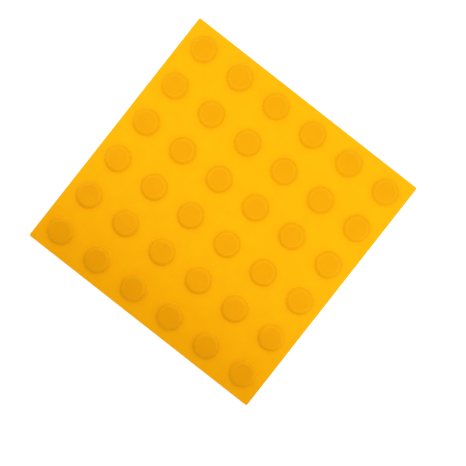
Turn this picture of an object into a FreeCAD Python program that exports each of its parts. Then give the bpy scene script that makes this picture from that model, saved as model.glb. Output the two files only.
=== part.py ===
import FreeCAD, Part
import math
import os
from enum import IntEnum

import Sketcher
from FreeCAD import Vector

# Tactile paving slab: one square tile moulded in yellow rubber, a thin plate with a square field of
# flat-topped warning studs. It lies on its flat underside with +Z up. The origin is the middle of the
# underside, the sides run along X and Y, and all sizes are in millimetres.

SIZES = {
    "slab_side": (300.0, "side of the square slab"),
    "corner_radius": (2.0, "round of the four upright corners, seen from above"),
    "plate_thickness": (3.0, "plate between the studs"),
    "edge_round": (0.8, "round where the plate's top turns down into its sides"),
    "edge_margin": (5.0, "least plain border between an outer stud's foot and the side"),
    "stud_pitch": (50.0, "from one stud's axis to the next, both ways"),
    "stud_base_diameter": (30.0, "where the stud's sloping side meets the plate"),
    "stud_top_diameter": (27.0, "where the stud's sloping side, run on, would meet its flat top"),
    "stud_height": (4.0, "from the plate up to the stud's flat top"),
    "shoulder_round": (5.0, "round between the sloping side and the flat top"),
}


class Point(IntEnum):
    """Which point of a piece of sketch geometry a constraint takes."""

    START = 1
    END = 2


class Axis(IntEnum):
    """The sketch's own axis, whose first point is the sketch's origin."""

    HORIZONTAL = -1


doc = FreeCAD.newDocument("tactile_paving_slab")

# Driving sizes
sheet = doc.addObject("Spreadsheet::Sheet", "sizes")
for row, (alias, (value, meaning)) in enumerate(SIZES.items(), start=1):
    sheet.set(f"A{row}", meaning)
    sheet.set(f"B{row}", str(value))
    sheet.setAlias(f"B{row}", alias)
doc.recompute()

# The studs stand as many to a row as the side has room for, centred on the slab.
STUDS_PER_ROW = ("floor((sizes.slab_side - sizes.stud_base_diameter - 2 * sizes.edge_margin)"
                 " / sizes.stud_pitch) + 1")
FIRST_STUD = f"({STUDS_PER_ROW} - 1) * sizes.stud_pitch / 2"


def origin_feature(body, role):
    """The plane or axis of the body's own origin that has this role."""
    return next(feature for feature in body.Origin.OriginFeatures if feature.Role == role)


def new_sketch(body, name, plane_role):
    """An empty sketch of the body, lying on one of the body's origin planes."""
    sketch = body.newObject("Sketcher::SketchObject", name)
    sketch.AttachmentSupport = [(origin_feature(body, plane_role), "")]
    sketch.MapMode = "FlatFace"
    return sketch


def bind_size(sketch, constraint, name, expression):
    """Adds a dimension to the sketch, names it and ties it to the sheet."""
    index = sketch.addConstraint(constraint)
    sketch.renameConstraint(index, name)
    sketch.setExpression(f"Constraints.{name}", expression)


def draw_plate_outline(sketch):
    """A square centred on the origin: four sides, and a tangent quarter circle at each corner."""
    half = sheet.slab_side / 2
    radius = sheet.corner_radius
    inner = half - radius
    sides = []
    corners = []
    for quarter in range(4):
        turn = FreeCAD.Rotation(Vector(0, 0, 1), 90 * quarter)
        side = Part.LineSegment(turn.multVec(Vector(-inner, -half, 0)), turn.multVec(Vector(inner, -half, 0)))
        circle = Part.Circle(turn.multVec(Vector(inner, -inner, 0)), Vector(0, 0, 1), radius)
        begin = math.radians(90 * quarter - 90)
        sides.append(sketch.addGeometry(side))
        corners.append(sketch.addGeometry(Part.ArcOfCircle(circle, begin, begin + math.pi / 2)))
    for quarter in range(4):
        following = sides[(quarter + 1) % 4]
        for before, after in ((sides[quarter], corners[quarter]), (corners[quarter], following)):
            sketch.addConstraint(Sketcher.Constraint("Tangent", before, Point.END, after, Point.START))
        direction = "Horizontal" if quarter % 2 == 0 else "Vertical"
        sketch.addConstraint(Sketcher.Constraint(direction, sides[quarter]))
    for corner in corners[1:]:
        sketch.addConstraint(Sketcher.Constraint("Equal", corners[0], corner))
    front, right, back, left = sides
    centred = ("Symmetric", front, Point.START, back, Point.START, Axis.HORIZONTAL, Point.START)
    sketch.addConstraint(Sketcher.Constraint(*centred))
    width = Sketcher.Constraint("DistanceX", left, Point.START, right, Point.START, 2 * half)
    depth = Sketcher.Constraint("DistanceY", front, Point.START, back, Point.START, 2 * half)
    round_off = Sketcher.Constraint("Radius", corners[0], radius)
    bind_size(sketch, width, "width", "sizes.slab_side")
    bind_size(sketch, depth, "depth", "sizes.slab_side")
    bind_size(sketch, round_off, "round_off", "sizes.corner_radius")


def draw_stud_section(sketch):
    """Half of a stud's section, from its axis outwards and up from the plate's top.

    A flat foot, a sloping side that meets the plate in a plain crease, a round shoulder and a flat top.
    A construction point marks where the sloping side, run on, would meet the top.
    """
    height = sheet.stud_height
    base_radius = sheet.stud_base_diameter / 2
    top_radius = sheet.stud_top_diameter / 2
    shoulder = sheet.shoulder_round
    slope = math.atan2(height, base_radius - top_radius)
    # From the corner that the shoulder rounds off, back to where the round begins
    reach = shoulder * math.tan(slope / 2)

    centre = Vector(0, 0, 0)
    foot = Vector(base_radius, 0, 0)
    corner = Vector(top_radius, height, 0)
    rim = corner - Vector(reach, 0, 0)
    side_end = corner + Vector(math.cos(slope), -math.sin(slope), 0) * reach
    top_centre = Vector(0, height, 0)
    circle = Part.Circle(rim - Vector(0, shoulder, 0), Vector(0, 0, 1), shoulder)
    upright = math.pi / 2

    axis_line = sketch.addGeometry(Part.LineSegment(top_centre, centre))
    foot_line = sketch.addGeometry(Part.LineSegment(centre, foot))
    side_line = sketch.addGeometry(Part.LineSegment(foot, side_end))
    shoulder_arc = sketch.addGeometry(Part.ArcOfCircle(circle, upright - slope, upright))
    top_line = sketch.addGeometry(Part.LineSegment(rim, top_centre))
    corner_point = sketch.addGeometry(Part.Point(corner), True)

    for kind, *what in (
        ("Coincident", axis_line, Point.END, Axis.HORIZONTAL, Point.START),
        ("Coincident", axis_line, Point.END, foot_line, Point.START),
        ("Coincident", foot_line, Point.END, side_line, Point.START),
        ("Tangent", side_line, Point.END, shoulder_arc, Point.START),
        ("Tangent", shoulder_arc, Point.END, top_line, Point.START),
        ("Coincident", top_line, Point.END, axis_line, Point.START),
        ("Vertical", axis_line),
        ("Horizontal", foot_line),
        ("Horizontal", top_line),
        ("PointOnObject", corner_point, Point.START, top_line),
        ("PointOnObject", corner_point, Point.START, side_line),
    ):
        sketch.addConstraint(Sketcher.Constraint(kind, *what))
    rise = Sketcher.Constraint("DistanceY", axis_line, Point.END, axis_line, Point.START, height)
    base = Sketcher.Constraint("DistanceX", foot_line, Point.START, foot_line, Point.END, base_radius)
    top = Sketcher.Constraint("DistanceX", axis_line, Point.START, corner_point, Point.START, top_radius)
    round_off = Sketcher.Constraint("Radius", shoulder_arc, shoulder)
    bind_size(sketch, rise, "rise", "sizes.stud_height")
    bind_size(sketch, base, "base", "sizes.stud_base_diameter / 2")
    bind_size(sketch, top, "top", "sizes.stud_top_diameter / 2")
    bind_size(sketch, round_off, "round_off", "sizes.shoulder_round")


# The slab: plate, rounded top edge, one stud, and the stud repeated both ways
slab = doc.addObject("PartDesign::Body", "tactile_slab")
slab.Label = "tactile_slab"

outline = new_sketch(slab, "plate_outline", "XY_Plane")
draw_plate_outline(outline)
plate = slab.newObject("PartDesign::Pad", "plate")
plate.Profile = outline
plate.setExpression("Length", "sizes.plate_thickness")
doc.recompute()

top_height = plate.Shape.BoundBox.ZMax
rim = [f"Edge{number}" for number, edge in enumerate(plate.Shape.Edges, start=1)
       if math.isclose(edge.BoundBox.ZMin, top_height, abs_tol=1e-6)]
rounded_rim = slab.newObject("PartDesign::Fillet", "rounded_rim")
rounded_rim.Base = (plate, rim)
rounded_rim.setExpression("Radius", "sizes.edge_round")
doc.recompute()

section = new_sketch(slab, "stud_section", "XZ_Plane")
section.setExpression("AttachmentOffset.Base.x", f"-({FIRST_STUD})")
section.setExpression("AttachmentOffset.Base.y", "sizes.plate_thickness")
section.setExpression("AttachmentOffset.Base.z", FIRST_STUD)
draw_stud_section(section)
stud = slab.newObject("PartDesign::Revolution", "stud")
stud.Profile = section
stud.ReferenceAxis = (section, ["V_Axis"])
stud.Angle = 360
doc.recompute()

stud_field = slab.newObject("PartDesign::LinearPattern", "stud_field")
stud_field.Originals = [stud]
stud_field.Direction = (origin_feature(slab, "X_Axis"), [""])
stud_field.Mode = "Spacing"
stud_field.setExpression("Offset", "sizes.stud_pitch")
stud_field.setExpression("Occurrences", STUDS_PER_ROW)
stud_field.Direction2 = (origin_feature(slab, "Y_Axis"), [""])
stud_field.Mode2 = "Spacing"
stud_field.Spacings2 = stud_field.Spacings
stud_field.setExpression("Offset2", "sizes.stud_pitch")
stud_field.setExpression("Occurrences2", STUDS_PER_ROW)
slab.Tip = stud_field
doc.recompute()

# A failed feature can leave an older shape behind it, so each one is looked at before anything is written.
for item in doc.Objects:
    if "Invalid" in item.State or "Error" in item.State:
        raise RuntimeError(f"{item.Name} failed: {item.State}")
for sketch in (outline, section):
    if sketch.solve() != 0:
        raise RuntimeError(f"{sketch.Name} has no solution")
shape = slab.Shape
if shape.isNull() or not shape.isValid() or len(shape.Solids) != 1:
    raise RuntimeError("the slab is not one valid solid")

box = shape.optimalBoundingBox(False, False)
stud_tops = [face for face in shape.Faces if math.isclose(face.BoundBox.ZMin, box.ZMax, abs_tol=1e-6)]
if len(stud_tops) != stud_field.Occurrences * stud_field.Occurrences2:
    raise RuntimeError(f"the field has {len(stud_tops)} studs")

os.makedirs("parts", exist_ok=True)
shape.exportStep(f"parts/{slab.Label}.step")
print(f"{slab.Label}: {box.XLength:.2f} x {box.YLength:.2f} x {box.ZLength:.2f} mm, {len(stud_tops)} studs, "
      f"{len(shape.Faces)} faces, {shape.Volume / 1000:.1f} cm3")
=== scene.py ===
import math

import bpy
import bmesh
import numpy as np
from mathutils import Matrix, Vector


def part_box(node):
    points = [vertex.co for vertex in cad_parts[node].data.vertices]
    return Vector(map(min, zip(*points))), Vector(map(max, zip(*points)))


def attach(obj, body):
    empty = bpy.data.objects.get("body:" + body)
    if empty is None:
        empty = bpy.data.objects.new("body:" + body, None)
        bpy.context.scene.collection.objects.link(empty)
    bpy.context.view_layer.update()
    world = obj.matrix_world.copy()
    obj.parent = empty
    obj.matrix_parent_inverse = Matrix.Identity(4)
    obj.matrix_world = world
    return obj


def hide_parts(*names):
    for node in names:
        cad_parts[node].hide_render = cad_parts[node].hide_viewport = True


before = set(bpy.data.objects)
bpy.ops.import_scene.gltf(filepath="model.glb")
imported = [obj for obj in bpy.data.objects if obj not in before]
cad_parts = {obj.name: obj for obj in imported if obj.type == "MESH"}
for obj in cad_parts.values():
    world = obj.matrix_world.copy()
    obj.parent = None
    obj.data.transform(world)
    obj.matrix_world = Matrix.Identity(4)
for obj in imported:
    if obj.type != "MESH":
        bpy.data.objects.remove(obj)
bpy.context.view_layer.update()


# The slab: one square tile of soft rubber, coloured yellow all through. It is pressed in a heated mould in
# one shot, so the plate and its studs are one skin: low buttons with a flat top, a broad round shoulder and
# a small hollow round at the foot, where the mould was eased. It lies on its flat underside.
MM = 0.001
slab_low, slab_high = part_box("tactile_slab")
slab_side = slab_high.x - slab_low.x
slab_height = slab_high.z - slab_low.z
CORNER_RADIUS = 2.0 * MM
EDGE_ROUND = 0.8 * MM
BOTTOM_ROUND = 0.15 * MM
STUD_PITCH = 50.0 * MM
STUD_BASE_RADIUS = 15.0 * MM
STUD_TOP_RADIUS = 13.5 * MM
STUD_HEIGHT = 4.0 * MM
SHOULDER_ROUND = 5.0 * MM
ROOT_ROUND = 1.0 * MM
plate_top = slab_height - STUD_HEIGHT
studs_per_row = round(slab_side / STUD_PITCH)

# How finely the skin is divided: spokes round a stud, steps round each bend, and then rings: on the flat top
# and the underside by their share of its size, and on the plate by their share of the way from a stud's foot
# to its cell's outline. Points that are closer together than the last value count as one.
SPOKES = 96
SHOULDER_STEPS = 10
ROOT_STEPS = 5
EDGE_STEPS = 5
BOTTOM_STEPS = 3
TOP_RINGS = np.array([0.35, 0.7, 0.95])
PLATE_RINGS = np.array([0.04, 0.3, 0.62, 1.0])
UNDERSIDE_RINGS = np.array([0.97, 0.7, 0.35])
SAME_POINT = 0.0005 * MM


def stud_section():
    """Radius and height over the plate along a stud's section, from near its axis out to its foot.

    The flat top is a few rings, the shoulder an arc from upright to the slope's normal, the side a straight
    line down that slope, and the root a small hollow arc that ends level with the plate.
    """
    slope = math.atan2(STUD_HEIGHT, STUD_BASE_RADIUS - STUD_TOP_RADIUS)
    flat_radius = STUD_TOP_RADIUS - SHOULDER_ROUND * math.tan(slope / 2)
    foot_radius = STUD_BASE_RADIUS + ROOT_ROUND * math.tan(slope / 2)
    top_radii = flat_radius * TOP_RINGS
    turn = np.linspace(0, slope, SHOULDER_STEPS + 1)
    shoulder_radii = flat_radius + SHOULDER_ROUND * np.sin(turn)
    shoulder_heights = STUD_HEIGHT - SHOULDER_ROUND * (1 - np.cos(turn))
    turn_back = np.linspace(slope, 0, ROOT_STEPS + 1)
    root_radii = foot_radius - ROOT_ROUND * np.sin(turn_back)
    root_heights = ROOT_ROUND * (1 - np.cos(turn_back))
    radii = np.concatenate([top_radii, shoulder_radii, root_radii])
    heights = np.concatenate([np.full(len(top_radii), STUD_HEIGHT), shoulder_heights, root_heights])
    return radii, heights


def unit_circle():
    """Points of a circle of radius 1, one to a spoke, evenly and anticlockwise from its lower left."""
    turn = np.linspace(-0.75 * np.pi, 1.25 * np.pi, SPOKES, endpoint=False)
    return np.stack([np.cos(turn), np.sin(turn)], axis=1)


def unit_square():
    """Points of a square of half-width 1, one to a spoke, anticlockwise from its lower left corner.

    Each side has a quarter of the spokes, spaced by a cosine so that they crowd towards the corners, where
    the slab's own corners need them.
    """
    along = -np.cos(np.linspace(0, np.pi, SPOKES // 4, endpoint=False))
    ones = np.ones_like(along)
    x = np.concatenate([along, ones, -along, -ones])
    y = np.concatenate([-ones, along, ones, -along])
    return np.stack([x, y], axis=1)


def round_corners(points, half, radius):
    """Moves points of a square outline near its corners onto quarter circles of that radius.

    A point at a distance s from the corner along its side goes to the arc's middle for s = 0 and to the
    arc's end for s = radius. Points further from the corner stay.
    """
    size = np.abs(points)
    reach = half - size.min(axis=1)
    near = reach < radius
    angle = np.pi / 4 * (reach[near] / radius)
    towards_side = np.where(size[near, 0] > size[near, 1], -1.0, 1.0)
    heading = np.pi / 4 + towards_side * angle
    quarter = np.stack([np.cos(heading), np.sin(heading)], axis=1)
    moved = points.copy()
    moved[near] = np.sign(points[near]) * (half - radius + radius * quarter)
    return moved


def ring_quads(rings):
    """Quads between each ring of point numbers and the next ring, for one stack of rings or several."""
    following = np.roll(rings, -1, axis=-1)
    near = rings[..., :-1, :]
    far = rings[..., 1:, :]
    far_next = following[..., 1:, :]
    near_next = following[..., :-1, :]
    return np.stack([near, far, far_next, near_next], axis=-1).reshape(-1, 4)


def hub_triangles(hubs, rings):
    """Triangles that join each hub to the ring of point numbers round it."""
    spread_hubs = np.broadcast_to(np.reshape(hubs, (-1, 1)), rings.shape)
    return np.stack([spread_hubs, rings, np.roll(rings, -1, axis=-1)], axis=-1).reshape(-1, 3)


def studded_top():
    """Points, quads and triangles of the plate's top with its studs, and the border where that top ends.

    Each stud has a square cell of rings: circles down its section, then rings that pass evenly from the
    foot's circle to the cell's outline. The outer cells end where the rounded edge begins, and follow the
    slab's round corners. The border is the outline of all the cells together, anticlockwise.
    """
    inner_half = slab_side / 2 - EDGE_ROUND
    row = (np.arange(studs_per_row) - (studs_per_row - 1) / 2) * STUD_PITCH
    centres = np.stack(np.meshgrid(row, row, indexing="ij"), axis=-1).reshape(-1, 2)
    outlines = np.clip(centres[:, None] + unit_square() * STUD_PITCH / 2, -inner_half, inner_half)
    on_border = np.isclose(np.abs(outlines).max(axis=2), inner_half)
    outlines[on_border] = round_corners(outlines[on_border], inner_half, CORNER_RADIUS - EDGE_ROUND)

    radii, heights = stud_section()
    circles = centres[:, None, None] + radii[:, None, None] * unit_circle()
    feet = circles[:, -1:]
    cells = len(centres)
    rings = np.empty((cells, len(radii) + len(PLATE_RINGS), SPOKES, 3))
    rings[:, :len(radii), :, :2] = circles
    rings[:, :len(radii), :, 2] = plate_top + heights[:, None]
    rings[:, len(radii):, :, :2] = feet + PLATE_RINGS[:, None, None] * (outlines[:, None] - feet)
    rings[:, len(radii):, :, 2] = plate_top
    hubs = np.column_stack([centres, np.full(cells, slab_height)])
    ring_numbers = np.arange(rings[..., 0].size).reshape(rings.shape[:3])
    hub_numbers = ring_numbers.size + np.arange(cells)

    border = outlines[on_border]
    border = border[np.argsort(np.arctan2(border[:, 1], border[:, 0]))]
    border = border[np.linalg.norm(border - np.roll(border, 1, axis=0), axis=1) > SAME_POINT]
    points = np.concatenate([rings.reshape(-1, 3), hubs])
    return points, ring_quads(ring_numbers), hub_triangles(hub_numbers, ring_numbers[:, 0]), border


def rim_and_underside(border):
    """Points, quads and triangles of the slab's edge, side and underside, from the border of its top.

    The border goes out and down along the edge's quarter circle, straight down the side and in along the
    small quarter circle at the bottom. It then closes in shrinking copies at the middle of the underside.
    """
    core_half = slab_side / 2 - CORNER_RADIUS
    core = np.clip(border, -core_half, core_half)
    outward = (border - core) / (CORNER_RADIUS - EDGE_ROUND)
    bend = np.linspace(0, np.pi / 2, EDGE_STEPS + 1)
    tuck = np.linspace(0, np.pi / 2, BOTTOM_STEPS + 1)
    reach = np.concatenate([EDGE_ROUND * np.sin(bend), EDGE_ROUND - BOTTOM_ROUND * (1 - np.cos(tuck))])
    height = np.concatenate([plate_top - EDGE_ROUND * (1 - np.cos(bend)), BOTTOM_ROUND * (1 - np.sin(tuck))])

    rings = np.zeros((len(reach) + len(UNDERSIDE_RINGS), len(border), 3))
    rings[:len(reach), :, :2] = border + reach[:, None, None] * outward
    rings[:len(reach), :, 2] = height[:, None]
    rings[len(reach):, :, :2] = UNDERSIDE_RINGS[:, None, None] * rings[len(reach) - 1, :, :2]
    ring_numbers = np.arange(rings[..., 0].size).reshape(rings.shape[:2])
    points = np.concatenate([rings.reshape(-1, 3), np.zeros((1, 3))])
    return points, ring_quads(ring_numbers), hub_triangles(ring_numbers.size, ring_numbers[-1:])


def slab_skin():
    """Points, quads and triangles of the whole slab: its studded top, then its rim and underside."""
    top_points, top_quads, top_triangles, border = studded_top()
    rim_points, rim_quads, rim_triangles = rim_and_underside(border)
    points = np.concatenate([top_points, rim_points])
    quads = np.concatenate([top_quads, rim_quads + len(top_points)])
    triangles = np.concatenate([top_triangles, rim_triangles + len(top_points)])
    return points, quads, triangles


def closed_mesh(name, points, quads, triangles):
    """A smooth mesh of these faces, all turned outwards, with points that lie together merged into one."""
    mesh = bpy.data.meshes.new(name)
    mesh.from_pydata(points.tolist(), [], quads.tolist() + triangles.tolist())
    soup = bmesh.new()
    soup.from_mesh(mesh)
    bmesh.ops.remove_doubles(soup, verts=soup.verts, dist=SAME_POINT)
    bmesh.ops.recalc_face_normals(soup, faces=soup.faces)
    soup.to_mesh(mesh)
    soup.free()
    mesh.polygons.foreach_set("use_smooth", np.ones(len(mesh.polygons), bool))
    return mesh


def linear(hex_code):
    """An sRGB hex colour as linear red, green, blue and full alpha, by the sRGB standard's own formula."""
    coded = np.array([int(hex_code[i:i + 2], 16) for i in (0, 2, 4)]) / 255
    channels = np.where(coded <= 0.04045, coded / 12.92, ((coded + 0.055) / 1.055) ** 2.4)
    return (*channels.tolist(), 1.0)


def add_node(tree, kind, sockets=None, ramp=None, **settings):
    """Adds a node, sets its properties, and fills its sockets with values or with other nodes' outputs.

    A ramp is given as colours by their place from 0 to 1, in rising order.
    """
    node = tree.nodes.new(kind)
    for name, value in settings.items():
        setattr(node, name, value)
    for socket, value in (sockets or {}).items():
        if isinstance(value, bpy.types.NodeSocket):
            tree.links.new(value, node.inputs[socket])
        else:
            node.inputs[socket].default_value = value
    if ramp:
        stops = node.color_ramp.elements
        while len(stops) < len(ramp):
            stops.new(1.0)
        for stop, (position, colour) in zip(stops, ramp.items()):
            stop.position = position
            stop.color = colour
    return node


# By the share of a stud's height: the plate, the side's foot and head, the shoulder's crown and the flat
# top.
# The side's head is darkened as painted shade, and the shoulder's crown is lightened as a painted highlight.
RUBBER_YELLOWS_WITH_PAINTED_SHADING = {0.0: "FAA800", 0.1: "EDA800", 0.8: "E49B00", 0.97: "E9A000", 1.0: "E89900"}
BLOTCH_SIZE = 14.0 * MM
BLOTCH_DETAIL = 3.0
BLOTCH_DEPTH = 0.03
GRAIN_SIZE = 1.2 * MM
GRAIN_DETAIL = 1.0
GRAIN_DEPTH = 0.02 * MM
SHEEN_PATCH_SIZE = 6.0 * MM
RUBBER_ROUGHNESS = 0.5
ROUGHNESS_SPREAD = 0.06
RUBBER_IOR = 1.52
RUBBER_SPECULAR = 0.04
# The range that nearly all of a noise pattern's values lie in
NOISE_LOW = 0.25
NOISE_HIGH = 0.75


def moulded_rubber():
    """Yellow rubber as it leaves a finely blasted mould: satin, almost even, with a skin-like fine grain.

    The rubber is taken to be a little translucent, so the thick studs look a shade deeper than the thin
    plate: the colour follows the height over the plate, up the side and over the shoulder to the flat top.
    The same colour by height also holds painted shade, darker towards the side's head, and a painted
    highlight, a lighter ring on the shoulder's crown. Pigment that is never stirred in quite evenly gives
    faint blotches, and the flow in the mould gives patches that shine a little more or less. Such a mould's
    grain is only about 0.3 mm wide, too fine to show, and is drawn coarser here.
    """
    material = bpy.data.materials.new("moulded_yellow_rubber")
    material.use_nodes = True
    tree = material.node_tree
    shader = tree.nodes["Principled BSDF"]
    place = add_node(tree, "ShaderNodeTexCoord").outputs["Object"]

    height = add_node(tree, "ShaderNodeSeparateXYZ", {"Vector": place}).outputs["Z"]
    share = add_node(tree, "ShaderNodeMapRange", {
        "Value": height,
        "From Min": plate_top,
        "From Max": plate_top + STUD_HEIGHT,
    }).outputs["Result"]
    # The colour by height holds painted shade on the side's head and a painted highlight on the shoulder's
    # crown
    yellows_with_painted_shading = {position: linear(code) for position, code in RUBBER_YELLOWS_WITH_PAINTED_SHADING.items()}
    yellow_with_painted_shading = add_node(tree, "ShaderNodeValToRGB", {"Fac": share}, yellows_with_painted_shading).outputs["Color"]

    blotches = add_node(tree, "ShaderNodeTexNoise", {
        "Vector": place,
        "Scale": 1 / BLOTCH_SIZE,
        "Detail": BLOTCH_DETAIL,
    }).outputs["Fac"]
    brightness = add_node(tree, "ShaderNodeMapRange", {
        "Value": blotches,
        "From Min": NOISE_LOW,
        "From Max": NOISE_HIGH,
        "To Min": 1 - BLOTCH_DEPTH,
        "To Max": 1 + BLOTCH_DEPTH,
    }).outputs["Result"]
    colour = add_node(tree, "ShaderNodeVectorMath", {
        "Vector": yellow_with_painted_shading,
        "Scale": brightness,
    }, operation="SCALE").outputs["Vector"]
    tree.links.new(colour, shader.inputs["Base Color"])

    patches = add_node(tree, "ShaderNodeTexNoise", {
        "Vector": place,
        "Scale": 1 / SHEEN_PATCH_SIZE,
    }).outputs["Fac"]
    roughness = add_node(tree, "ShaderNodeMapRange", {
        "Value": patches,
        "From Min": NOISE_LOW,
        "From Max": NOISE_HIGH,
        "To Min": RUBBER_ROUGHNESS - ROUGHNESS_SPREAD,
        "To Max": RUBBER_ROUGHNESS + ROUGHNESS_SPREAD,
    }).outputs["Result"]
    tree.links.new(roughness, shader.inputs["Roughness"])

    grain = add_node(tree, "ShaderNodeTexNoise", {
        "Vector": place,
        "Scale": 1 / GRAIN_SIZE,
        "Detail": GRAIN_DETAIL,
    }).outputs["Fac"]
    relief = add_node(tree, "ShaderNodeBump", {"Height": grain, "Distance": GRAIN_DEPTH}).outputs["Normal"]
    tree.links.new(relief, shader.inputs["Normal"])

    shader.inputs["IOR"].default_value = RUBBER_IOR
    shader.inputs["Specular IOR Level"].default_value = RUBBER_SPECULAR
    return material


slab = bpy.data.objects.new("slab", closed_mesh("slab", *slab_skin()))
bpy.context.scene.collection.objects.link(slab)
slab.data.materials.append(moulded_rubber())
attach(slab, "root")
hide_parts("tactile_slab")


# The floor: a wide flat sheet of matt white paper, which the slab lies on. It glows a little of itself, as
# if lit through from below, so that it stays white all round the slab.
FLOOR_HALF = 3.0
FLOOR_WHITE = "F4F4F4"
FLOOR_ROUGHNESS = 0.9
GLOW_WHITE = "FFFFFF"
FLOOR_GLOW = 0.6
floor_corners = [(x * FLOOR_HALF, y * FLOOR_HALF, 0) for x, y in ((-1, -1), (1, -1), (1, 1), (-1, 1))]
floor_mesh = bpy.data.meshes.new("floor")
floor_mesh.from_pydata(floor_corners, [], [(0, 1, 2, 3)])
floor = bpy.data.objects.new("floor", floor_mesh)
bpy.context.scene.collection.objects.link(floor)
paper = bpy.data.materials.new("white_paper")
paper.use_nodes = True
paper_shader = paper.node_tree.nodes["Principled BSDF"]
paper_shader.inputs["Base Color"].default_value = linear(FLOOR_WHITE)
paper_shader.inputs["Roughness"].default_value = FLOOR_ROUGHNESS
paper_shader.inputs["Emission Color"].default_value = linear(GLOW_WHITE)
paper_shader.inputs["Emission Strength"].default_value = FLOOR_GLOW
floor_mesh.materials.append(paper)


# Light: a white cloth tent all round, and one wide soft panel close over the slab. The tent is a little
# brighter at its foot, and dark overhead, round the hole that the camera looks in by. The panel ends where
# the front row of studs begins, so the light falls off there.
TENT_BRIGHTNESS = {0.0: 1.25, 0.10: 0.90, 0.90: 0.90, 0.95: 0.0}  # by the sine of the angle over the floor
world = bpy.data.worlds.new("white_tent")
bpy.context.scene.world = world
world.use_nodes = True
sky = world.node_tree
direction = add_node(sky, "ShaderNodeTexCoord").outputs["Generated"]
upward = add_node(sky, "ShaderNodeSeparateXYZ", {"Vector": direction}).outputs["Z"]
tent_whites = {height: (white, white, white, 1) for height, white in TENT_BRIGHTNESS.items()}
tent = add_node(sky, "ShaderNodeValToRGB", {"Fac": upward}, tent_whites).outputs["Color"]
sky.links.new(tent, sky.nodes["Background"].inputs["Color"])

PANEL_LENGTH = 1.2
PANEL_WIDTH = 0.54
PANEL_PLACE = (0.0, 0.16, 0.10)
PANEL_POWER = 1.21
panel_data = bpy.data.lights.new("soft_panel", "AREA")
panel_data.shape = "RECTANGLE"
panel_data.size = PANEL_LENGTH
panel_data.size_y = PANEL_WIDTH
panel_data.energy = PANEL_POWER
panel = bpy.data.objects.new("soft_panel", panel_data)
bpy.context.scene.collection.objects.link(panel)
panel.location = PANEL_PLACE
panel.visible_camera = False


# Camera: straight above the slab, and turned about the upright, so that the slab lies askew in the square
# picture. The slab's size, middle and turn there were measured in pixels and degrees.
PHOTO_SIDE_PX = 466
SLAB_SIDE_PX = 276.8
SLAB_CENTRE_PX = (223.1, 211.7)
SLAB_TURN = math.radians(38.13)
CAMERA_HEIGHT = 0.80
SENSOR_WIDTH = 36.0
metres_per_px = slab_side / SLAB_SIDE_PX
to_right = (PHOTO_SIDE_PX / 2 - SLAB_CENTRE_PX[0]) * metres_per_px
to_top = (SLAB_CENTRE_PX[1] - PHOTO_SIDE_PX / 2) * metres_per_px
camera_data = bpy.data.cameras.new("camera")
camera_data.sensor_width = SENSOR_WIDTH
camera_data.lens = SENSOR_WIDTH * CAMERA_HEIGHT / (PHOTO_SIDE_PX * metres_per_px)
camera = bpy.data.objects.new("camera", camera_data)
bpy.context.scene.collection.objects.link(camera)
camera.location = (
    to_right * math.cos(SLAB_TURN) - to_top * math.sin(SLAB_TURN),
    to_right * math.sin(SLAB_TURN) + to_top * math.cos(SLAB_TURN),
    plate_top + CAMERA_HEIGHT,
)
camera.rotation_euler = (0, 0, SLAB_TURN)
bpy.context.scene.camera = camera

# The picture's tones: true to the light up to four fifths, with a soft shoulder from there to white, so the
# yellow's strong red is rolled off and not cut. One curve acts on red, green and blue alike.
WHITE_LIGHT = 1.2
SHOULDER_TONES = {0.8: 0.8, 1.0: 0.935}
COMBINED_CURVE = 3
tones = bpy.context.scene.view_settings
tones.view_transform = "Standard"
tones.use_curve_mapping = True
tones.curve_mapping.white_level = (WHITE_LIGHT, WHITE_LIGHT, WHITE_LIGHT)
response = tones.curve_mapping.curves[COMBINED_CURVE].points
for light, shown in SHOULDER_TONES.items():
    response.new(light / WHITE_LIGHT, shown)
for point in response:
    point.handle_type = "VECTOR"
tones.curve_mapping.update()
